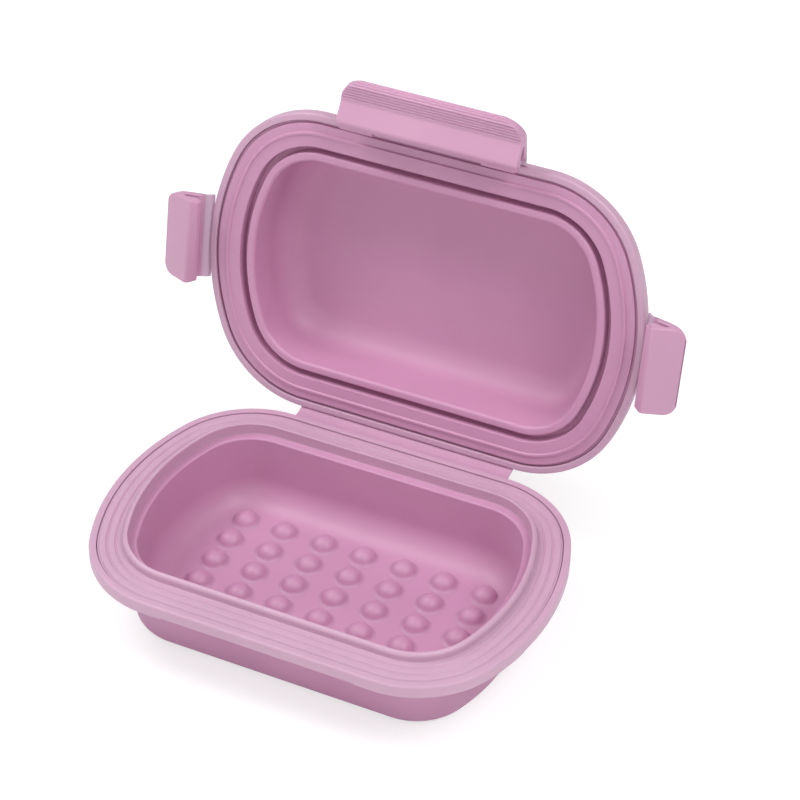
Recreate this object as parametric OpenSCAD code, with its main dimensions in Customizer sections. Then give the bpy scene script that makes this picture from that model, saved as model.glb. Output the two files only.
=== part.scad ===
// Travel soap box: a base with a draining tray, and a lid held by three swinging latches.
// The base stands centred on the origin, front at -Y, with the fold at its back.
// The lid is drawn shut and then swung open about the fold; each latch likewise.

/* [Outline] */
// Length over the seam line of the base
seam_l = 120.2; // [112:0.1:150]
// Width over the seam line of the base
seam_w = 80.6; // [74:0.1:96]
// Radius where a long side turns into the end
corner_r = 25.2; // [24.5:0.1:28]
// Distance that the lid's seam line lies outside the base's
lid_grow = 0.7; // [0.5:0.1:1]

/* [Base rim] */
// Height of the seam plane above the table
base_h = 24.5; // [20:0.5:40]
// Width of both rims' outer band, outside the seam
band_w = 2.1; // [1.8:0.1:3]
// Width of the seam line between a rim and what it holds
seam_gap = 0.3; // [0.2:0.05:0.4]
// Height of the base rim
rim_h = 3.9; // [3.6:0.1:4]
// Height of the catch under the base rim, below the seam plane
catch_z = 3.1; // [2.8:0.1:3.2]
// Radius of the rims' outer edges
edge_r = 0.6; // [0.3:0.1:0.6]

/* [Tray] */
// Thickness of the tray's flange
flange_t = 1.9; // [1.4:0.1:2]
// Distance from the seam line to the sealing lip
lip_in = 6.7; // [6.5:0.1:7]
// Thickness of the sealing lip
lip_t = 1.6; // [1.4:0.1:1.8]
// Height of the sealing lip above the seam plane
lip_h = 2.4; // [1.8:0.1:2.4]
// Width of the ledge behind the lip
ledge_w = 2.1; // [1.5:0.1:2.3]
// Depth of the ledge below the seam plane
ledge_z = 0.9; // [0.5:0.1:1.5]
// Thickness of the tray's side wall
tray_wall = 2; // [1.5:0.1:2.2]
// Thickness of the tray's floor
floor_t = 3; // [1.8:0.1:3.4]
// Lean of the tray's side wall from top to bottom
draft = 0.5; // [0.2:0.1:1]
// Outer radius between wall and floor
foot_r = 3.2; // [3:0.1:6]
// Inner radius between wall and floor
bowl_r = 8; // [5:0.5:9]

/* [Draining nubs] */
// Nubs along the length
nub_cols = 7; // [3:1:7]
// Nubs across the width
nub_rows = 5; // [3:1:5]
// Spacing along the length
nub_dx = 12.1; // [8:0.1:12.2]
// Spacing across the width
nub_dy = 9; // [8:0.5:9]
// Diameter of a nub at the floor
nub_d = 6.5; // [5:0.1:6.6]
// Height of a nub
nub_h = 2.2; // [1:0.1:2.4]

/* [Lid] */
// Angle that the lid stands open
open_a = 101.4; // [0:0.1:175]
// Gap between lid and base when shut
shut_gap = 0.3; // [0.2:0.05:0.5]
// Height of the lid above its seam plane
lid_h = 19; // [15:0.5:19]
// Height of the lid rim
lid_rim_h = 3.5; // [3.3:0.1:4.5]
// Thickness of the cover's flange
cover_t = 1.5; // [1.2:0.1:1.8]
// Thickness of the lid rim's inner band
keeper_t = 1; // [0.8:0.1:1.4]
// Thickness of the cover's skin
lid_wall = 1.2; // [1.1:0.1:2]
// Outer radius of the lid's shoulder
dome_r = 9; // [7:0.5:10]
// Clearance between the sealing lip and its channel
lip_gap = 0.4; // [0.35:0.05:0.45]
// Depth of that channel from the lid's seam plane
channel_d = 3.8; // [2.8:0.1:4]
// Width of the plug inside the channel
plug_t = 2.1; // [1.7:0.1:2.4]
// Distance that the plug's edge stays behind the seam plane
plug_back = 0.9; // [0.9:0.1:2]

/* [Folding webs] */
// Distance from the base rim to the lid's fold line
fold_out = 2; // [1.9:0.1:2.4]
// Depth of the lid's fold line below the seam plane
fold_z = 0.9; // [0.9:0.05:1.1]
// Length of the lid's fold
fold_l = 63.4; // [40:0.2:63.4]
// Thickness of the webs
web_t = 0.5; // [0.4:0.05:0.5]
// Radius of the bead along a fold
bead_r = 0.45; // [0.4:0.01:0.5]
// Running clearance round a bead
bead_gap = 0.1; // [0.08:0.01:0.15]

/* [Latches] */
// Length of the front latch
front_l = 50.5; // [40:0.5:52]
// Length of a side latch
side_l = 24.4; // [16:0.2:25]
// Angle that the latches hang open
latch_a = 24; // [10:1:60]
// Distance from the lid rim to a latch's fold line
latch_out = 1.1; // [1:0.05:1.3]
// Depth of that fold line below the lid's seam plane
latch_z = 0; // [0:0.05:0.1]
// Slope of a latch's flap when shut
flap_a = 38; // [36:0.5:38.5]
// Thickness of the flap
flap_t = 1.6; // [1.3:0.1:1.8]
// Distance from the fold line to the outer bend
bend_l = 8.5; // [8.2:0.1:8.6]
// Depth of the hook below the fold line
hook_z = 7.3; // [7.2:0.05:7.5]
// Thickness of the hook
hook_t = 1.8; // [1.5:0.1:2.2]
// Thickness of the hook's free edge
nose_t = 1.3; // [1:0.1:1.8]
// Length of the slope that leads in from that edge
lead_l = 1.6; // [1:0.1:2]
// Clearance between the shut hook and the catch
catch_gap = 0.4; // [0.3:0.05:0.5]
// Reach of the hook under the base rim
hook_in = 1.4; // [1:0.1:1.5]
// Extra length of each catch beyond its latch
catch_slack = 1.8; // [1:0.1:2]
// Length of each foot on the front latch's hook
foot_l = 10; // [6:0.5:14]
// Set-back of the hook's edge between those feet
foot_d = 0.7; // [0.4:0.1:0.8]

/* [Finger tab] */
// Reach of the tab along the flap
tab_l = 13.8; // [13.2:0.1:16]
// Distance from the fold line to where the tab bends up
rise_l = 9; // [8.6:0.1:9.4]
// Thickness of the tab at its edge
tab_t = 2; // [1.5:0.1:2.2]
// Radius of the tab's corners
tab_r = 6; // [3:0.5:6]
// Grip ribs on the tab
rib_n = 8; // [5:1:9]
// Depth of the grooves between the ribs
rib_d = 0.35; // [0.2:0.05:0.4]

/* [Hidden] */
$fn = 96;
pink = [0.82, 0.6, 0.74];
film = [0.86, 0.72, 0.84];

// Plan outline: a straight side, a corner arc and a long end arc in each quarter.
// The arcs meet on the line that runs 12 along for 5 across, so that every centre is a round number.
a = seam_l / 2;
b = seam_w / 2;
yc = b - corner_r;
k = yc / 5;
xc = a - corner_r - k;
cx = xc - 12 * k;
end_r = corner_r + 13 * k;
meet = [120, 50];
far = 140;

// Tray heights, measured from the seam plane, and offsets, measured outward from the seam line
lip_o = -lip_in - lip_t;
wall_o = lip_o - ledge_w;
skin_o = wall_o + tray_wall;
floor_z = -base_h + floor_t;
floor_o = wall_o - draft - bowl_r - 0.4;
seat = 0.15;

// Lid offsets, measured outward from the base's seam line
channel_o = -lip_in + lip_gap;
plug_o = lip_o - lip_gap;
cavity_o = plug_o - plug_t;
dome_o = cavity_o + lid_wall;
channel_t = 1;
channel_w = channel_o + channel_t;
ceiling_o = cavity_o - draft - dome_r - 0.4;

// Fold lines
hinge_y = b + band_w + fold_out;
hinge_z = base_h - fold_z;
fold_o = lid_grow + band_w + latch_out;
latch_fold_z = base_h + shut_gap - latch_z;

// Latch, with u outward and v downward from its fold line, drawn shut
nose_u = -latch_out - lid_grow - hook_in;
nose_v = shut_gap + catch_z - latch_z + catch_gap;
nose_l = 2.3;
ramp_l = 2.3;
root_t = 0.15;
skin_t = 0.3;
flap_s = 1.8;
web_reach = 3;
tab_h = 3.25;
crease_s = (hook_z - tab_h * cos(flap_a)) / sin(flap_a);

// Points of a polygon whose corners [x, y, r] are rounded to r
function unit(v) = v / norm(v);
function turn(d) = d > 180 ? d - 360 : d < -180 ? d + 360 : d;
function arc(c, r, a0, d, n) = [for (i = [0:n]) c + r * [cos(a0 + d * i / n), sin(a0 + d * i / n)]];
function corner(p, q, s, r) = let (
        u = unit(p - q), w = unit(s - q), h = acos(u * w) / 2, t = r / tan(h),
        c = q + unit(u + w) * r / sin(h), e0 = q + u * t - c, e1 = q + w * t - c,
        a0 = atan2(e0[1], e0[0]), d = turn(atan2(e1[1], e1[0]) - a0))
    arc(c, r, a0, d, ceil(abs(d) / (r > 2 ? 15 : 30)));
function at(p, i) = let (q = p[(i + len(p)) % len(p)]) [q[0], q[1]];
function smooth(p) = [for (i = [0:len(p) - 1])
    each p[i][2] > 0 ? corner(at(p, i - 1), at(p, i), at(p, i + 1), p[i][2]) : [at(p, i)]];

// A point of the latch given along and across its sloping flap
function on_flap(s, n, r = 0) = [s * cos(flap_a) - n * sin(flap_a), s * sin(flap_a) + n * cos(flap_a), r];
function flip(p) = [for (q = p) [-q[0], -q[1], q[2]]];

module outline(o) {
    square([2 * xc, 2 * (b + o)], center = true);
    for (i = [-1, 1], j = [-1, 1]) {
        translate([i * xc, j * yc]) circle(corner_r + o);
    }
    for (i = [0, 1]) {
        mirror([i, 0]) intersection() {
            translate([cx, 0]) circle(end_r + o, $fn = 360);
            translate([cx, 0]) polygon([[0, 0], meet, [meet[0], -meet[1]]]);
        }
    }
}

// A wedge with its edge upright at the origin, from one direction round to another
module wedge(p, mid, q) {
    translate([0, 0, -far]) linear_extrude(2 * far) polygon([[0, 0], p, mid, q]);
}

// Carries a profile round the outline; x is the offset from the seam line and y the height
module sweep(p) {
    for (i = [0, 1]) {
        mirror([i, 0, 0]) {
            translate([cx, 0, 0]) intersection() {
                rotate_extrude() translate([end_r, 0]) polygon(p);
                wedge([meet[0], -meet[1]], [1.5 * meet[0], 0], meet);
            }
            for (j = [0, 1]) {
                mirror([0, j, 0]) translate([xc, yc, 0]) intersection() {
                    rotate_extrude() translate([corner_r, 0]) polygon(p);
                    wedge(meet, [meet[0], meet[0]], [0, meet[0]]);
                }
            }
        }
    }
    for (j = [0, 1]) {
        mirror([0, j, 0]) translate([-xc, b, 0]) along_x(2 * xc) polygon(p);
    }
}

module along_x(l) {
    rotate([90, 0, 90]) linear_extrude(l) children();
}

module swung_lid() {
    translate([0, hinge_y, hinge_z]) rotate([-open_a, 0, 0]) translate([0, -hinge_y, -hinge_z]) children();
}

module at_front() {
    swung_lid() translate([0, -b - fold_o, latch_fold_z]) children();
}

module at_side(s) {
    swung_lid() translate([s * (a + fold_o), 0, latch_fold_z]) rotate([0, 0, s * 90]) children();
}

module base_rim() {
    in = skin_o + seat;
    color(pink) difference() {
        translate([0, 0, base_h]) sweep(smooth([
            [seam_gap / 2, 0, 0.2], [band_w, 0, edge_r], [band_w, -rim_h, edge_r], [seam_gap / 2, -rim_h, 0.3],
            [seam_gap / 2, -catch_z, 0], [in, -catch_z, 0], [in, -flange_t, 0], [seam_gap / 2, -flange_t, 0]]));
        translate([-front_l / 2 - catch_slack, -b - far, base_h - catch_z - far])
            cube([front_l + 2 * catch_slack, far, far]);
        for (s = [-1, 1]) {
            translate([s * (a + far / 2), 0, base_h - catch_z - far / 2])
                cube([far, side_l + 2 * catch_slack, far], center = true);
        }
    }
}

module nub() {
    r = (nub_d * nub_d / 4 + nub_h * nub_h) / (2 * nub_h);
    intersection() {
        translate([0, 0, nub_h - r]) sphere(r);
        cylinder(r = 2 * nub_d, h = 2 * nub_h);
    }
}

module base_tray() {
    color(pink) translate([0, 0, base_h]) {
        sweep(smooth([
            [-seam_gap / 2, 0, 0.2], [-seam_gap / 2, -flange_t, 0], [skin_o, -flange_t, 0],
            [skin_o - draft, -base_h, foot_r], [floor_o, -base_h, 0], [floor_o, floor_z, 0],
            [wall_o - draft, floor_z, bowl_r], [wall_o, -ledge_z, 0.4], [lip_o, -ledge_z, 0],
            [lip_o, lip_h, 0.7], [-lip_in, lip_h, 0.7], [-lip_in, 0, 0]]));
        translate([0, 0, -base_h]) linear_extrude(floor_t) outline(floor_o);
        for (i = [0:nub_cols - 1], j = [0:nub_rows - 1]) {
            translate([(i - (nub_cols - 1) / 2) * nub_dx, (j - (nub_rows - 1) / 2) * nub_dy, floor_z]) nub();
        }
    }
}

module hinge_web_base() {
    color(film) {
        translate([-fold_l / 2, b + band_w, hinge_z - web_t / 2]) cube([fold_l, fold_out, web_t]);
        translate([-fold_l / 2, hinge_y, hinge_z]) rotate([0, 90, 0]) cylinder(r = bead_r, h = fold_l);
    }
}

module lid_rim() {
    in = channel_w + seat;
    go = lid_grow + seam_gap / 2;
    out = lid_grow + band_w;
    color(pink) swung_lid() translate([0, 0, base_h + shut_gap]) sweep(smooth([
        [go, 0, 0.2], [out, 0, edge_r], [out, lid_rim_h, edge_r], [go, lid_rim_h, 0.5],
        [go, cover_t + keeper_t, 0], [in, cover_t + keeper_t, 0], [in, cover_t, 0], [go, cover_t, 0]]));
}

module lid_cover() {
    rim_o = lid_grow - seam_gap / 2;
    top = channel_d + channel_t;
    color(pink) swung_lid() translate([0, 0, base_h + shut_gap]) {
        sweep(smooth([
            [rim_o, 0, 0.2], [rim_o, cover_t, 0], [channel_w, cover_t, 0], [channel_w, top, 0.8],
            [dome_o, top, 0], [dome_o - draft, lid_h, dome_r], [ceiling_o, lid_h, 0],
            [ceiling_o, lid_h - lid_wall, 0], [cavity_o - draft, lid_h - lid_wall, dome_r - lid_wall],
            [cavity_o, plug_back, 0.6], [plug_o, plug_back, 0.5], [plug_o, channel_d, 0],
            [channel_o, channel_d, 0], [channel_o, 0, 0.2]]));
        translate([0, 0, lid_h - lid_wall]) linear_extrude(lid_wall) outline(ceiling_o);
    }
}

module hinge_web_lid() {
    p0 = [hinge_y, hinge_z];
    p1 = [b + lid_grow + band_w, base_h + shut_gap + edge_r + web_t];
    d = unit(p1 - p0);
    n = web_t / 2 * [-d[1], d[0]];
    s = p0 + d * (bead_r + bead_gap);
    e = p1 + d;
    color(film) swung_lid() difference() {
        translate([-fold_l / 2, 0, 0]) along_x(fold_l) polygon([s + n, e + n, e - n, s - n]);
        linear_extrude(far) outline(lid_grow + band_w);
    }
}

// Outer side of a latch's flap, then its hook back to the fold line
function flap_start() = [on_flap(0.1, -root_t), on_flap(flap_s - 1, -root_t, 0.3), on_flap(flap_s, -skin_t, 0.3)];
function hook_points() = let (v = hook_z - hook_t, n = flap_t - skin_t, s = (v - n * cos(flap_a)) / sin(flap_a)) [
    [nose_u + lead_l, hook_z, 0.6], [nose_u, nose_v + nose_t, 0.4], [nose_u, nose_v, 0.4],
    [nose_u + nose_l, nose_v, 0.4],
    [nose_u + nose_l + ramp_l, v, 1], on_flap(s, n, 0.5), on_flap(2.5, n), on_flap(0.1, skin_t)];

function side_points() = let (s = (bend_l - skin_t * sin(flap_a)) / cos(flap_a)) concat(
    flap_start(), [on_flap(s, -skin_t, 0.6), [bend_l, hook_z, 0.35]], hook_points());

function rib_points() = let (s0 = tab_l - 1, s1 = crease_s + 0.7, p = (s0 - s1) / rib_n)
    [for (i = [0:rib_n - 1], k = [0, 1]) on_flap(s0 - (i + k / 2) * p, tab_h - k * rib_d)];

function front_points() = concat(
    flap_start(), [on_flap(rise_l, -skin_t, 2), on_flap(tab_l, tab_h - tab_t, 0.8), on_flap(tab_l, tab_h, 0.8)],
    rib_points(), [on_flap(crease_s + 0.7, tab_h), on_flap(crease_s, tab_h, 0.6)], hook_points());

module round_rect(l, y0, y1, r0, r1) {
    d = l / 2;
    for (s = [-1, 1]) {
        translate([s * (d - r0), y0 + r0]) circle(r0);
        translate([s * (d - r1), y1 - r1]) circle(r1);
    }
    translate([-d + r0, y0]) square([l - 2 * r0, y1 - y0 - r1]);
    translate([-d, y0 + r0]) square([l, y1 - r1 - y0 - r0]);
    translate([-d + r1, y0 + r0]) square([l - 2 * r1, y1 - y0 - r0]);
}

module bead_seat(l) {
    translate([-l, 0, 0]) rotate([0, 90, 0]) cylinder(r = bead_r + bead_gap, h = 2 * l);
}

module front_latch() {
    color(pink) at_front() rotate([-latch_a, 0, 0]) difference() {
        intersection() {
            translate([-front_l / 2, 0, 0]) along_x(front_l) polygon(smooth(flip(front_points())));
            translate([0, 0, -far / 2]) linear_extrude(far) round_rect(front_l, -far / 4, -nose_u, 1, 1.5);
            rotate([flap_a, 0, 0]) translate([0, 0, -far / 2])
                linear_extrude(far) round_rect(front_l, -tab_l, far / 4, tab_r, 1);
        }
        bead_seat(front_l);
        translate([-front_l / 2 + foot_l, -nose_u - foot_d, -far / 2]) cube([front_l - 2 * foot_l, far, far]);
    }
}

module side_latch(s) {
    color(pink) at_side(s) rotate([-latch_a, 0, 0]) difference() {
        intersection() {
            translate([-side_l / 2, 0, 0]) along_x(side_l) polygon(smooth(flip(side_points())));
            translate([0, 0, -far / 2]) linear_extrude(far) round_rect(side_l, -bend_l, -nose_u, 3.5, 1.5);
        }
        bead_seat(side_l);
    }
}

// The web from a latch's fold line to the lid rim, ending on the rim's face
module latch_web(l) {
    p = [latch_out, edge_r - latch_z + 1.5 * web_t];
    n = web_t / 2 * [-unit(p)[1], unit(p)[0]];
    translate([-l / 2, 0, 0]) {
        along_x(l) {
            polygon([n, p + n, p - n, -n]);
            translate(p) circle(web_t / 2);
            translate(p - [0, web_t / 2]) square([web_reach, web_t]);
        }
        rotate([0, 90, 0]) cylinder(r = bead_r, h = l);
    }
}

module rim_block() {
    swung_lid() linear_extrude(far) outline(lid_grow + band_w);
}

module front_latch_web() {
    color(film) difference() {
        at_front() latch_web(front_l);
        rim_block();
    }
}

module side_latch_web(s) {
    color(film) difference() {
        at_side(s) latch_web(side_l);
        rim_block();
    }
}

base_rim();
base_tray();
hinge_web_base();
lid_rim();
lid_cover();
hinge_web_lid();
front_latch();
front_latch_web();
side_latch(-1);  // left_latch
side_latch_web(-1);  // left_latch_web
side_latch(1);  // right_latch
side_latch_web(1);  // right_latch_web
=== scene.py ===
import bpy
import math
from mathutils import Matrix, Vector


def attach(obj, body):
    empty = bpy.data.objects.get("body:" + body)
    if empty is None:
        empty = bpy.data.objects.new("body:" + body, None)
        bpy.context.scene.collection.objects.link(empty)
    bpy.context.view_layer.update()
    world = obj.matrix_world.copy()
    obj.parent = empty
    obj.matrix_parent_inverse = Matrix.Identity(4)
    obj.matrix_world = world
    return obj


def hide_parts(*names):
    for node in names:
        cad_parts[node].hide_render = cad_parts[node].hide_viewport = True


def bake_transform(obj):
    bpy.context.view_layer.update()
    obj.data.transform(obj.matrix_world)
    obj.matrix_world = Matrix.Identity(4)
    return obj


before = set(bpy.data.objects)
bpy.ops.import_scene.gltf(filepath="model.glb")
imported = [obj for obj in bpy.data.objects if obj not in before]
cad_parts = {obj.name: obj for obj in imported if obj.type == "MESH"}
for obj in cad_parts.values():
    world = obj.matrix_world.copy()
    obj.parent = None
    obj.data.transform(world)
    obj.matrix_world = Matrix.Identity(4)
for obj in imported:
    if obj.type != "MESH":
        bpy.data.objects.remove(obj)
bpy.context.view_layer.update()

MM = 0.001

# Vertices nearer to each other than this, in metres, are one
WELD = 1e-6

# Outline of the seam line, in millimetres: half length, half width, corner arc and end arc.
# The end arc spans END_TURN on each side of the X axis, a slope of 5 in 12.
HALF_L = 60.1
HALF_W = 40.3
CORNER_R = 25.2
CORNER_Y = HALF_W - CORNER_R
CORNER_X = HALF_L - CORNER_R - CORNER_Y / 5
END_X = CORNER_X - 12 * CORNER_Y / 5
END_TURN = math.atan2(5, 12)

# Heights and places shared by base and lid. Names that end in O are offsets outward from the seam line.
SEAM_Z = 24.5
SHUT_GAP = 0.3
LID_Z = SEAM_Z + SHUT_GAP
LID_GROW = 0.7
BAND_W = 2.1
LIP_IN = 6.7
LIP_T = 1.4
HINGE_Y = HALF_W + BAND_W + 2.0
HINGE_Z = SEAM_Z - 0.9
OPEN_A = math.radians(101.4)
LATCH_A = math.radians(24)
FOLD_O = LID_GROW + BAND_W + 1.1
FLAP_A = math.radians(38)

# Lengths along the folds: the hinge strip, the front latch and the end latches
STRIP_L = 63.4
FRONT_L = 50.5
SIDE_L = 24.4


# Modelling helpers

def clear_selection():
    if bpy.context.object and bpy.context.object.mode != "OBJECT":
        bpy.ops.object.mode_set(mode="OBJECT")
    bpy.ops.object.select_all(action="DESELECT")


def start_piece(name):
    """A primitive shrunk to one vertex at the origin, in edit mode."""
    clear_selection()
    bpy.ops.mesh.primitive_plane_add(size=MM, location=(0, 0, 0))
    piece = bpy.context.object
    piece.name = name
    bpy.ops.object.mode_set(mode="EDIT")
    bpy.ops.mesh.select_mode(type="VERT")
    bpy.ops.mesh.select_all(action="SELECT")
    bpy.ops.mesh.merge(type="CENTER")
    return piece


def draw_chain(points):
    """Moves the selected vertex from the origin to the first point and extrudes it from point to point."""
    bpy.ops.transform.translate(value=Vector(points[0]))
    for last, point in zip(points, points[1:]):
        bpy.ops.mesh.extrude_region_move(
            TRANSFORM_OT_translate={"value": Vector(point) - Vector(last)})


def rounded(corners, closed, step=11):
    """Points of a profile whose corners (x, y, r) are rounded to r."""
    count = len(corners)
    points = []
    for i, (x, y, r) in enumerate(corners):
        here = Vector((x, y))
        if r <= 0 or (not closed and i in (0, count - 1)):
            points.append(here)
            continue
        before = Vector(corners[i - 1][:2]) - here
        after = Vector(corners[(i + 1) % count][:2]) - here
        u, w = before.normalized(), after.normalized()
        half = u.angle(w) / 2
        centre = here + (u + w).normalized() * r / math.sin(half)
        first = here + u * r / math.tan(half) - centre
        turn = math.pi - 2 * half
        if u.x * w.y - u.y * w.x > 0:
            turn = -turn
        parts = max(2, math.ceil(math.degrees(abs(turn)) / step))
        for k in range(parts + 1):
            a = turn * k / parts
            c, s = math.cos(a), math.sin(a)
            points.append(centre + Vector((first.x * c - first.y * s, first.x * s + first.y * c)))
    return points


def close_chain(piece, points):
    """Joins the two ends of the chain with an edge."""
    mesh = piece.data
    bpy.ops.object.mode_set(mode="OBJECT")
    ends = (Vector(points[0]), Vector(points[-1]))
    for v in mesh.vertices:
        v.select = min((v.co - e).length for e in ends) < WELD / 10
    bpy.ops.object.mode_set(mode="EDIT")
    bpy.ops.mesh.edge_face_add()
    bpy.ops.mesh.select_all(action="SELECT")


def extrude_chain(piece, points, way):
    """Draws a closed chain, fills it and extrudes the face."""
    draw_chain(points)
    close_chain(piece, points)
    bpy.ops.mesh.edge_face_add()
    bpy.ops.mesh.select_all(action="SELECT")
    bpy.ops.mesh.extrude_region_move(TRANSFORM_OT_translate={"value": way})
    bpy.ops.object.mode_set(mode="OBJECT")


def extrude_along_x(piece, loop, length):
    """Fills a loop of (y, z) points and extrudes it along X, centred."""
    points = [(-length / 2 * MM, q.x * MM, q.y * MM) for q in loop]
    extrude_chain(piece, points, (length * MM, 0, 0))


def carry_round(name, profile):
    """Carries a profile of (offset, height) round the outline, and mirrors the quarter to a full ring."""
    piece = start_piece(name)
    draw_chain([(0, (HALF_W + o) * MM, z * MM) for o, z in profile])
    bpy.ops.mesh.select_all(action="SELECT")
    bpy.ops.mesh.extrude_edges_move(TRANSFORM_OT_translate={"value": (CORNER_X * MM, 0, 0)})
    bpy.ops.mesh.spin(steps=24, angle=math.pi / 2 - END_TURN, axis=(0, 0, 1),
                      center=(CORNER_X * MM, CORNER_Y * MM, 0))
    bpy.ops.mesh.spin(steps=14, angle=END_TURN, axis=(0, 0, 1), center=(END_X * MM, 0, 0))
    bpy.ops.mesh.select_all(action="SELECT")
    bpy.ops.mesh.remove_doubles(threshold=WELD)
    bpy.ops.object.mode_set(mode="OBJECT")
    for v in piece.data.vertices:
        for axis in (0, 1):
            if abs(v.co[axis]) < 2 * WELD:
                v.co[axis] = 0
    mirror = piece.modifiers.new("both_ways", "MIRROR")
    mirror.use_axis = (True, True, False)
    mirror.use_clip = True
    mirror.merge_threshold = 2 * WELD
    bpy.ops.object.modifier_apply(modifier=mirror.name)
    return piece


def cap_opening(piece, height):
    """Fills the inner edge loop that lies at a height."""
    inner = HALF_W - 18
    bpy.ops.object.mode_set(mode="EDIT")
    bpy.ops.mesh.select_mode(type="EDGE")
    bpy.ops.mesh.select_all(action="DESELECT")
    bpy.ops.object.mode_set(mode="OBJECT")
    mesh = piece.data
    on_loop = [abs(v.co.z - height * MM) < WELD and abs(v.co.y) < inner * MM for v in mesh.vertices]
    for edge in mesh.edges:
        edge.select = all(on_loop[i] for i in edge.vertices)
    bpy.ops.object.mode_set(mode="EDIT")
    bpy.ops.mesh.edge_face_add()
    bpy.ops.object.mode_set(mode="OBJECT")


def finish_piece(piece, smooth=35):
    """Welds the mesh, turns its faces outward and shades it smooth up to an angle in degrees."""
    clear_selection()
    bpy.context.view_layer.objects.active = piece
    piece.select_set(True)
    bpy.ops.object.mode_set(mode="EDIT")
    bpy.ops.mesh.select_all(action="SELECT")
    bpy.ops.mesh.remove_doubles(threshold=WELD)
    bpy.ops.mesh.normals_make_consistent(inside=False)
    bpy.ops.object.mode_set(mode="OBJECT")
    bpy.ops.object.shade_smooth_by_angle(angle=math.radians(smooth))
    return piece


def settle(piece, matrix):
    """Moves a piece by a matrix and puts that place into its mesh."""
    clear_selection()
    piece.matrix_world = matrix @ piece.matrix_world
    bpy.context.view_layer.update()
    bpy.context.view_layer.objects.active = piece
    piece.select_set(True)
    bpy.ops.object.transform_apply(location=True, rotation=True, scale=True)
    return piece


def join(pieces):
    clear_selection()
    for piece in pieces:
        piece.select_set(True)
    bpy.context.view_layer.objects.active = pieces[0]
    bpy.ops.object.join()
    return bpy.context.object


# Places of the lid and the latches as the box stands open

def about(point, turn):
    return Matrix.Translation(point) @ turn @ Matrix.Translation(-Vector(point))


SWUNG_LID = about(Vector((0, HINGE_Y, HINGE_Z)) * MM, Matrix.Rotation(-OPEN_A, 4, "X"))
FRONT_FOLD = Matrix.Translation(Vector((0, -HALF_W - FOLD_O, LID_Z)) * MM)
SIDE_FOLD = {
    side: Matrix.Translation(Vector((side * (HALF_L + FOLD_O), 0, LID_Z)) * MM)
    @ Matrix.Rotation(side * math.pi / 2, 4, "Z") for side in (-1, 1)}
HANGING = Matrix.Rotation(-LATCH_A, 4, "X")


# Moulded plastic

def moulded_plastic(name, colour, pale, rough, grain, glow):
    """Soft satin plastic: faint flow marks in the colour, a fine grain in the gloss and surface."""
    material = bpy.data.materials.new(name)
    material.use_nodes = True
    nodes, links = material.node_tree.nodes, material.node_tree.links
    shader = nodes["Principled BSDF"]
    shader.inputs["Subsurface Weight"].default_value = glow
    shader.inputs["Subsurface Radius"].default_value = (0.0035, 0.0018, 0.0026)
    shader.inputs["Subsurface Scale"].default_value = 1.0
    shader.inputs["IOR"].default_value = 1.46
    shader.inputs["Specular IOR Level"].default_value = 1.0
    shader.inputs["Sheen Weight"].default_value = 0.1
    shader.inputs["Sheen Roughness"].default_value = 0.5
    shader.inputs["Sheen Tint"].default_value = (0.9, 0.9, 1, 1)
    place = nodes.new("ShaderNodeTexCoord")

    flow = nodes.new("ShaderNodeTexNoise")
    flow.inputs["Scale"].default_value = 26
    flow.inputs["Detail"].default_value = 3
    flow.inputs["Roughness"].default_value = 0.55
    links.new(place.outputs["Object"], flow.inputs["Vector"])
    tint = nodes.new("ShaderNodeValToRGB")
    tint.color_ramp.elements[0].position = 0.36
    tint.color_ramp.elements[0].color = (*colour, 1)
    tint.color_ramp.elements[1].position = 0.68
    tint.color_ramp.elements[1].color = (*pale, 1)
    links.new(flow.outputs["Fac"], tint.inputs["Fac"])
    links.new(tint.outputs["Color"], shader.inputs["Base Color"])

    fine = nodes.new("ShaderNodeTexNoise")
    fine.inputs["Scale"].default_value = 1700
    fine.inputs["Detail"].default_value = 2
    links.new(place.outputs["Object"], fine.inputs["Vector"])
    gloss = nodes.new("ShaderNodeMapRange")
    gloss.inputs["To Min"].default_value = rough - 0.05
    gloss.inputs["To Max"].default_value = rough + 0.07
    links.new(fine.outputs["Fac"], gloss.inputs["Value"])
    links.new(gloss.outputs["Result"], shader.inputs["Roughness"])
    bump = nodes.new("ShaderNodeBump")
    bump.inputs["Strength"].default_value = grain
    bump.inputs["Distance"].default_value = 0.00004
    links.new(fine.outputs["Fac"], bump.inputs["Height"])
    links.new(bump.outputs["Normal"], shader.inputs["Normal"])
    return material


TRAY_PINK = moulded_plastic("tray_pink", (0.545, 0.258, 0.425), (0.585, 0.282, 0.455), 0.5, 0.5, 0.12)
# Paler pink for the rims. Laid on the tray's flange, it is painted sheen that stands in for light reflected
# off faces that look up.
RIM_AND_SHEEN_PINK = moulded_plastic("rim_and_sheen_pink", (0.555, 0.33, 0.465), (0.59, 0.355, 0.495), 0.45, 0.35, 0.12)
LATCH_PINK = moulded_plastic("latch_pink", (0.56, 0.29, 0.445), (0.60, 0.315, 0.475), 0.45, 0.35, 0.15)
HINGE_PINK = moulded_plastic("hinge_pink", (0.52, 0.285, 0.425), (0.56, 0.31, 0.455), 0.45, 0.3, 0.2)
# Pale lilac-grey for the thin latch films is a painted highlight. It stands in for the light that the thin
# curved film catches.
FILM_HIGHLIGHT_LILAC = moulded_plastic("film_highlight_lilac", (0.54, 0.40, 0.51), (0.58, 0.43, 0.55), 0.4, 0.3, 0.25)


def dress(piece, material):
    piece.data.materials.clear()
    piece.data.materials.append(material)


def paint_flange_sheen(piece, test):
    """Gives the flange's faces the rim's paler pink as painted sheen: a painted reflection of the light from
    above on faces that look up.
    """
    piece.data.materials.append(RIM_AND_SHEEN_PINK)
    for face in piece.data.polygons:
        if test(face.center):
            face.material_index = 1


# The tray, with its sealing lip and draining nubs

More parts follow.
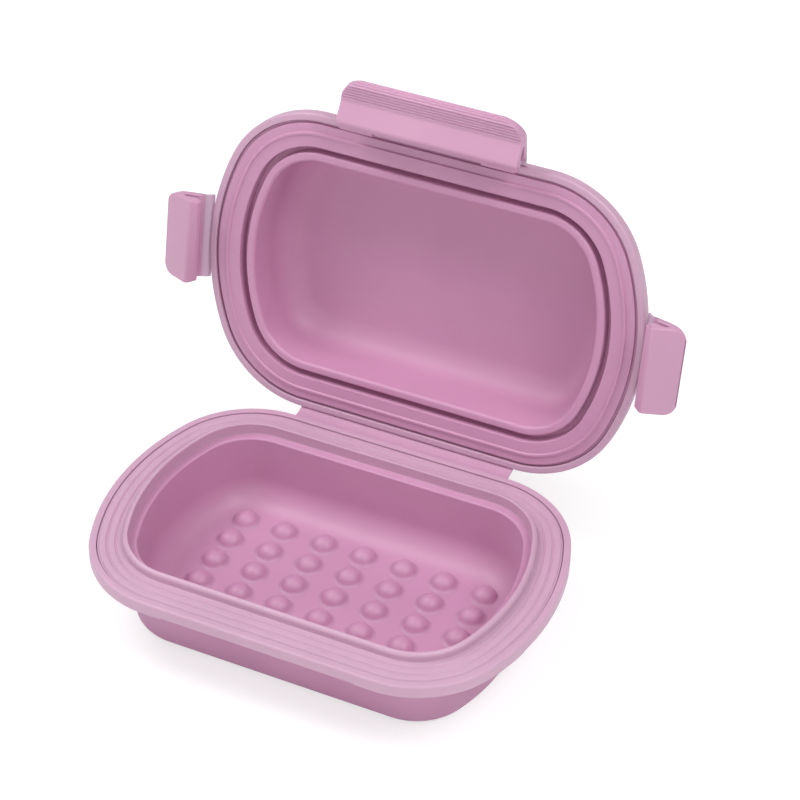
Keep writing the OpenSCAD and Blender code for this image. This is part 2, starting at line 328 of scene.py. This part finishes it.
def make_tray():
    ledge_w, ledge_d, lip_h, step_d, flange_t = 2.3, 0.9, 2.4, 0.4, 1.9
    wall, draft, floor_t, bowl_r, foot_r = 2.0, 0.5, 3.0, 8, 3.2
    groove_places, groove_half, groove_d = (-4.9, -2.6), 0.45, 0.5
    ledge_z, lip_top, step_z, flange_z = SEAM_Z - ledge_d, SEAM_Z + lip_h, SEAM_Z - step_d, SEAM_Z - flange_t
    lip_o = -LIP_IN - LIP_T
    wall_o = lip_o - ledge_w
    skin_o = wall_o + wall
    inner_o = wall_o - draft - bowl_r - 0.4
    edge_o = -0.05
    grooves = []
    for o in groove_places:
        grooves += [(o - groove_half, SEAM_Z, 0.15), (o, SEAM_Z - groove_d, 0.14),
                    (o + groove_half, SEAM_Z, 0.15)]
    profile = [
        (inner_o, floor_t, 0), (wall_o - draft, floor_t, bowl_r), (wall_o, ledge_z, 0.5),
        (lip_o, ledge_z, 0.25), (lip_o, lip_top, 0.28), (-LIP_IN, lip_top, 1.1), (-LIP_IN, SEAM_Z, 0.3),
        *grooves,
        (-0.65, SEAM_Z, 0.2), (-0.35, step_z, 0.12), (edge_o, step_z, 0.05), (edge_o, flange_z, 0.1),
        (skin_o, flange_z, 0.3), (skin_o - draft, 0, foot_r), (inner_o, 0, 0)]
    tray = carry_round("tray_body", rounded(profile, closed=False))
    cap_opening(tray, floor_t)
    cap_opening(tray, 0)
    finish_piece(tray)

    cols, rows, pitch_x, pitch_y, shift_x, shift_y = 7, 5, 11.9, 9, 0.5, 0.6
    nub = make_nub(floor_t)
    nubs = []
    for i in range(cols):
        for j in range(rows):
            copy = nub.copy()
            copy.data = nub.data.copy()
            bpy.context.scene.collection.objects.link(copy)
            copy.name = f"nub_{i}_{j}"
            x = (i - cols // 2) * pitch_x + shift_x
            y = (j - rows // 2) * pitch_y + shift_y
            settle(copy, Matrix.Translation(Vector((x, y, 0)) * MM))
            nubs.append(copy)
    bpy.data.objects.remove(nub)
    tray = join([tray] + nubs)
    dress(tray, TRAY_PINK)
    # The top faces get the paler pink as painted sheen from the light above.
    paint_flange_sheen(tray, lambda co: co.z > (SEAM_Z - 0.8) * MM)
    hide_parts("base_tray")
    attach(tray, "base")


def make_nub(floor_z):
    """One round nub, spun from its profile, with a soft foot that runs out on the floor."""
    dome_r, rise, dome_turn, dome_parts = 3.6, 2.85, math.radians(56), 9
    foot = [(3.27, 0.7), (3.5, 0.32), (3.82, 0.1), (4.25, 0.005)]
    dome = []
    for k in range(dome_parts + 1):
        a = dome_turn * k / dome_parts
        dome.append((dome_r * math.sin(a), rise - dome_r * (1 - math.cos(a))))
    piece = start_piece("nub")
    draw_chain([(r * MM, 0, (floor_z + z) * MM) for r, z in dome + foot])
    bpy.ops.mesh.select_all(action="SELECT")
    bpy.ops.mesh.spin(steps=28, angle=2 * math.pi, axis=(0, 0, 1), center=(0, 0, 0))
    bpy.ops.mesh.select_all(action="SELECT")
    bpy.ops.mesh.remove_doubles(threshold=2 * WELD)
    bpy.ops.object.mode_set(mode="OBJECT")
    finish_piece(piece, smooth=60)
    return piece


# The lid's cover, drawn shut and then swung open

def make_cover():
    lip_gap, channel_d, channel_t, plug_t, plug_back = 0.2, 3.8, 1.0, 2.4, 0.4
    skin, draft, top, shoulder, flange_t, step_d = 1.2, 0.5, 19, 9, 1.5, 1.0
    channel_o = -LIP_IN + lip_gap
    back_o, back_z = channel_o + channel_t, channel_d + channel_t
    plug_o = -LIP_IN - LIP_T - lip_gap
    cavity_o = plug_o - plug_t
    dome_o = cavity_o + skin
    inner_o = cavity_o - draft - shoulder - 0.4
    bead_o = LID_GROW - 3.4
    edge_o = LID_GROW - 0.05
    profile = [
        (inner_o, top - skin, 0), (cavity_o - draft, top - skin, shoulder - skin),
        (cavity_o, plug_back, 0.9), (plug_o, plug_back, 0.5),
        (plug_o, channel_d, 0.1), (channel_o, channel_d, 0.1), (channel_o, 0.1, 0.25),
        (bead_o - 0.5, 0.15, 0.12), (bead_o - 0.3, -0.25, 0.15),
        (bead_o + 0.3, -0.25, 0.15), (bead_o + 0.5, 0.25, 0.12),
        (LID_GROW - 0.7, 0.2, 0.12), (LID_GROW - 0.6, step_d, 0.1),
        (edge_o, step_d, 0.05), (edge_o, flange_t, 0.1), (back_o, flange_t, 0.3),
        (back_o, back_z, 0.8), (dome_o, back_z, 0.5), (dome_o - draft, top, shoulder), (inner_o, top, 0)]
    profile = rounded([(o, LID_Z + z, r) for o, z, r in profile], closed=False)
    cover = carry_round("lid_shell", profile)
    cap_opening(cover, LID_Z + top - skin)
    cap_opening(cover, LID_Z + top)
    finish_piece(cover)
    dress(cover, TRAY_PINK)
    settle(cover, SWUNG_LID)
    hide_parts("lid_cover")
    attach(cover, "lid")


# The folding strips: one film across each joint

def make_film(name, path, length, place, nodes, material):
    """A thin film that follows a path across the fold line and bends between two bodies."""
    half_t = 0.25
    sides = []
    for i, p in enumerate(path):
        ahead = path[min(i + 1, len(path) - 1)] - path[max(i - 1, 0)]
        normal = Vector((-ahead.y, ahead.x)).normalized() * half_t
        sides.append((p + normal, p - normal))
    film = start_piece(name)
    extrude_along_x(film, [s[0] for s in sides] + [s[1] for s in reversed(sides)], length)
    finish_piece(film, smooth=50)
    settle(film, place)
    dress(film, material)
    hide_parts(*nodes)
    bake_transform(film)


def smooth_path(a, b, c, parts):
    """A curve from a to c that is drawn towards b, and runs on a little to sink into the piece at c."""
    sink = 0.3
    a, b, c = Vector(a), Vector(b), Vector(c)
    path = [(1 - t) ** 2 * a + 2 * t * (1 - t) * b + t * t * c for t in (k / parts for k in range(parts + 1))]
    return path + [path[-1] + (path[-1] - path[-2]).normalized() * sink]


def make_hinge_strip():
    sink, lid_edge = 0.2, 1.3
    swung = SWUNG_LID @ Vector((0, (HALF_W + LID_GROW + BAND_W) * MM, (LID_Z + lid_edge) * MM))
    rim = (HALF_W + BAND_W, HINGE_Z)
    path = smooth_path(rim, (HINGE_Y + 0.4, HINGE_Z - 0.1), (swung.y / MM, swung.z / MM), 14)
    path = [Vector((rim[0] - sink, rim[1]))] + path
    make_film("hinge_strip", path, STRIP_L, Matrix.Identity(4),
              ("hinge_web_base", "hinge_web_lid"), HINGE_PINK)


def flap_point(s, n):
    """A point of the shut latch given along and across its flap, as (y, z) from the fold line."""
    c, si = math.cos(FLAP_A), math.sin(FLAP_A)
    return Vector((-(s * c - n * si), -(s * si + n * c)))


def make_latch_film(side, place, length):
    root = HANGING.to_3x3() @ Vector((0, *flap_point(1.5, 0.1)))
    path = smooth_path((1.3, 1.35), (0.0, -0.2), (root.y, root.z), 12)
    # The film wears the pale lilac painted highlight.
    make_film(side + "_latch_film", path, length, SWUNG_LID @ place,
              (side + "_latch_web",), FILM_HIGHLIGHT_LILAC)


# The latches, drawn shut in their fold's place and then swung to hang open.
# From the fold line U runs outward and V down, and S and N run along and across the sloping flap.

HOOK_V = 7.3
HOOK_T = 1.8
NOSE = (-3.2, 3.8)
NOSE_T = 1.3
FLAP_TOP = -0.3
FLAP_UNDER = 1.3
TAB_L = 13.8
TAB_H = 3.25
TAB_T = 2
TIP_R = 1.5
CREASE_S = (HOOK_V - TAB_H * math.cos(FLAP_A)) / math.sin(FLAP_A)


def on_flap(s, n, r=0):
    """A profile corner (y, z, r) that is given along and across the flap."""
    return (*flap_point(s, n), r)


def hook_corners(back=0, lead=1.6):
    """The hook from its outer face round its free edge and back along the flap to the fold line."""
    nose_u, nose_v = NOSE[0] + back, NOSE[1]
    inner_s = (HOOK_V - HOOK_T - FLAP_UNDER * math.cos(FLAP_A)) / math.sin(FLAP_A)
    hook = [(nose_u + lead, HOOK_V, 1.3), (nose_u, nose_v + NOSE_T, 0.5), (nose_u, nose_v, 0.45),
            (nose_u + 2.3, nose_v, 0.5), (nose_u + 4.6, HOOK_V - HOOK_T, 1.2)]
    flap = [on_flap(inner_s, FLAP_UNDER, 0.6), on_flap(2.5, FLAP_UNDER, 0.4), on_flap(0.5, 0.16)]
    return [(-u, -v, r) for u, v, r in hook] + flap


FLAP_ROOT = [on_flap(0.5, -0.08), on_flap(0.95, -0.15, 0.2), on_flap(1.8, FLAP_TOP, 0.3)]


def solid_bar(name, corners, length):
    """A profile of (y, z, r) corners filled and extruded along X, centred."""
    bar = start_piece(name)
    extrude_along_x(bar, rounded(corners, closed=True, step=9), length)
    return finish_piece(bar)


def solid_block(name, corners, turn=0):
    """A tall block whose plan has rounded corners (x, y, r), turned about X."""
    half_h = 30
    block = start_piece(name)
    points = [(q.x * MM, q.y * MM, -half_h * MM) for q in rounded(corners, closed=True, step=9)]
    extrude_chain(block, points, (0, 0, 2 * half_h * MM))
    finish_piece(block)
    return settle(block, Matrix.Rotation(turn, 4, "X"))


def carve(piece, tool, way):
    """Cuts a piece with a tool, which is used up: INTERSECT keeps what they share, DIFFERENCE the rest."""
    clear_selection()
    bpy.context.view_layer.objects.active = piece
    cut = piece.modifiers.new("carve", "BOOLEAN")
    cut.operation = way
    cut.solver = "EXACT"
    cut.object = tool
    bpy.ops.object.modifier_apply(modifier=cut.name)
    bpy.data.objects.remove(tool)


def soften_ends(piece, width):
    """Rounds over the sharp edges that the cuts have left, except near the fold line."""
    fold_reach = 2.2
    mesh = piece.data
    clear_selection()
    bpy.context.view_layer.objects.active = piece
    piece.select_set(True)
    bpy.ops.object.mode_set(mode="EDIT")
    bpy.ops.mesh.select_mode(type="EDGE")
    bpy.ops.mesh.select_all(action="SELECT")
    bpy.ops.mesh.remove_doubles(threshold=20 * WELD)
    bpy.ops.mesh.dissolve_limited(angle_limit=math.radians(0.5))
    bpy.ops.mesh.select_all(action="DESELECT")
    bpy.ops.mesh.edges_select_sharp(sharpness=math.radians(48))
    bpy.ops.object.mode_set(mode="OBJECT")
    for edge in mesh.edges:
        if edge.select:
            edge.select = all(math.hypot(*mesh.vertices[i].co.yz) > fold_reach * MM for i in edge.vertices)
    bpy.ops.object.mode_set(mode="EDIT")
    bpy.ops.mesh.bevel(offset=width * MM, segments=3, affect="EDGES", clamp_overlap=False)
    bpy.ops.object.mode_set(mode="OBJECT")


def finish_latch(latch, side, place):
    finish_piece(latch, smooth=32)
    settle(latch, SWUNG_LID @ place @ HANGING)
    dress(latch, LATCH_PINK)
    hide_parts(side + "_latch")
    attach(latch, side + "_latch")


def make_side_latch(side, place):
    reach, half = 8.5, SIDE_L / 2
    bend_s = (reach + FLAP_TOP * math.sin(FLAP_A)) / math.cos(FLAP_A)
    plate = [on_flap(bend_s, FLAP_TOP, 0.9), (-reach, -HOOK_V, 0.55)]
    latch = solid_bar(side + "_hook", FLAP_ROOT + plate + hook_corners(back=1.3, lead=1.1), SIDE_L)
    plan = [(-half, -reach, 3.5), (half, -reach, 3.5), (half, 2.4, 2), (-half, 2.4, 2)]
    carve(latch, solid_block("plan", plan), "INTERSECT")
    soften_ends(latch, 0.28)
    finish_latch(latch, side, place)


def comb_corners(count, depth):
    """Teeth that cut the grip grooves, from the crease along the tab and over its rounded tip."""
    proud, point_r, back, back_parts = 0.04, 0.06, 1.2, 8
    start, flat_end, tip_turn = CREASE_S + 0.7, TAB_L - TIP_R, math.radians(72)
    flat = flat_end - start
    total = flat + tip_turn * TIP_R

    def outside(along, lift):
        if along <= flat:
            return on_flap(start + along, TAB_H + lift)
        a = (along - flat) / TIP_R
        r = TIP_R + lift
        return on_flap(flat_end + r * math.sin(a), TAB_H - TIP_R + r * math.cos(a))

    pitch = total / count
    teeth = []
    for i in range(count):
        teeth += [outside(i * pitch, proud), (*outside((i + 0.5) * pitch, -depth)[:2], point_r)]
    spine = [outside(total * k / back_parts, back) for k in range(back_parts, -1, -1)]
    return teeth + [outside(total, proud)] + spine


def make_front_latch():
    half, tab_r, foot_l, foot_d, slant = FRONT_L / 2, 6, 10, 0.7, 0.7
    nose = -NOSE[0]
    tab = [on_flap(9, FLAP_TOP, 2.5), on_flap(TAB_L, TAB_H - TAB_T, 0.3), on_flap(TAB_L, TAB_H, TIP_R),
           on_flap(CREASE_S, TAB_H, 1.0)]
    latch = solid_bar("front_hook", FLAP_ROOT + tab + hook_corners(), FRONT_L)

    # Each cut runs past the latch on the sides that it leaves alone
    plan = [(-half, -29, 1), (half, -29, 1), (half, nose, 1.5), (-half, nose, 1.5)]
    carve(latch, solid_block("plan", plan), "INTERSECT")
    tab_plan = [(-half, -TAB_L, tab_r), (half, -TAB_L, tab_r), (half, 30, 1), (-half, 30, 1)]
    carve(latch, solid_block("tab", tab_plan, FLAP_A), "INTERSECT")
    side, far = half - foot_l, half - foot_l - slant
    step = [(-side, nose - foot_d, 0), (side, nose - foot_d, 0), (far, 8, 0), (-far, 8, 0)]
    carve(latch, solid_block("step", step), "DIFFERENCE")
    soften_ends(latch, 0.3)
    carve(latch, solid_bar("comb", comb_corners(7, 0.24), FRONT_L + 4), "DIFFERENCE")
    finish_latch(latch, "front", FRONT_FOLD)


# The camera, set where the photograph was taken

def make_camera():
    data = bpy.data.cameras.new("photo_view")
    data.sensor_width = 36
    data.lens = 114.85
    data.clip_start = 0.01
    camera = bpy.data.objects.new("photo_view", data)
    bpy.context.scene.collection.objects.link(camera)
    turn, roll = math.radians(24.79), math.radians(0.43)
    back = Vector((0.32882, -0.71197, 0.62046)).normalized()
    right = Vector((math.cos(turn), math.sin(turn), 0))
    up = back.cross(right)
    side = right * math.cos(roll) + up * math.sin(roll)
    upward = up * math.cos(roll) - right * math.sin(roll)
    matrix = Matrix((side, upward, back)).transposed().to_4x4()
    matrix.translation = Vector((0.224658, -0.443858, 0.463936))
    camera.matrix_world = matrix
    bpy.context.scene.camera = camera


def split_for_camera(tree, lit, seen, target):
    """Shows one shader to the camera and the other to all other light."""
    path = tree.nodes.new("ShaderNodeLightPath")
    mix = tree.nodes.new("ShaderNodeMixShader")
    tree.links.new(path.outputs["Is Camera Ray"], mix.inputs["Fac"])
    tree.links.new(lit.outputs[0], mix.inputs[1])
    tree.links.new(seen.outputs[0], mix.inputs[2])
    tree.links.new(mix.outputs[0], target.inputs["Surface"])


def whiten_floor(tree):
    """To the camera the floor glows nearly white, so that only a faint shadow is left on it."""
    nodes, links = tree.nodes, tree.links
    matt = nodes.new("ShaderNodeBsdfDiffuse")
    matt.inputs["Color"].default_value = (0.5, 0.5, 0.5, 1)
    glow = nodes.new("ShaderNodeEmission")
    place = nodes.new("ShaderNodeTexCoord")
    reach = nodes.new("ShaderNodeVectorMath")
    reach.operation = "LENGTH"
    fade = nodes.new("ShaderNodeMapRange")
    fade.inputs["From Min"].default_value = 0.1
    fade.inputs["From Max"].default_value = 0.6
    fade.inputs["To Min"].default_value = 0.62
    fade.inputs["To Max"].default_value = 0.8
    links.new(place.outputs["Object"], reach.inputs[0])
    links.new(reach.outputs["Value"], fade.inputs["Value"])
    links.new(fade.outputs["Result"], glow.inputs["Strength"])
    both = nodes.new("ShaderNodeAddShader")
    links.new(matt.outputs[0], both.inputs[0])
    links.new(glow.outputs[0], both.inputs[1])
    split_for_camera(tree, nodes["Principled BSDF"], both, nodes["Material Output"])


def make_studio():
    clear_selection()
    bpy.ops.mesh.primitive_plane_add(size=3, location=(0, 0, -0.0002))
    floor = bpy.context.object
    floor.name = "studio_floor"
    material = bpy.data.materials.new("studio_white")
    material.use_nodes = True
    shader = material.node_tree.nodes["Principled BSDF"]
    shader.inputs["Base Color"].default_value = (0.9, 0.9, 0.9, 1)
    shader.inputs["Roughness"].default_value = 0.9
    whiten_floor(material.node_tree)
    floor.data.materials.append(material)

    world = bpy.data.worlds.new("studio")
    bpy.context.scene.world = world
    world.use_nodes = True
    tree = world.node_tree
    soft = tree.nodes["Background"]
    soft.inputs["Color"].default_value = (1, 1, 1, 1)
    soft.inputs["Strength"].default_value = 0.49
    white = tree.nodes.new("ShaderNodeBackground")
    white.inputs["Color"].default_value = (1, 1, 1, 1)
    output = next(n for n in tree.nodes if n.type == "OUTPUT_WORLD")
    split_for_camera(tree, soft, white, output)

    aim = Vector((0, 0.02, 0.03))
    for name, place, size, power in (
            ("softbox_right", (0.5, -0.1, 0.85), 0.45, 3.8),
            ("softbox_left", (-0.5, -0.1, 0.85), 0.45, 3.9),
            ("softbox_front", (0.1, -0.9, 0.4), 0.6, 1.15)):
        data = bpy.data.lights.new(name, "AREA")
        data.shape = "DISK"
        data.size = size
        data.energy = power
        light = bpy.data.objects.new(name, data)
        bpy.context.scene.collection.objects.link(light)
        light.location = place
        light.rotation_euler = (aim - Vector(place)).to_track_quat("-Z", "Y").to_euler()

    bpy.context.scene.view_settings.view_transform = "Standard"


make_camera()
make_studio()
make_tray()
make_cover()
make_hinge_strip()
make_latch_film("front", FRONT_FOLD, FRONT_L)
make_latch_film("left", SIDE_FOLD[-1], SIDE_L)
make_latch_film("right", SIDE_FOLD[1], SIDE_L)
for node in ("base_rim", "lid_rim"):
    dress(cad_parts[node], RIM_AND_SHEEN_PINK)
make_front_latch()
make_side_latch("left", SIDE_FOLD[-1])
make_side_latch("right", SIDE_FOLD[1])
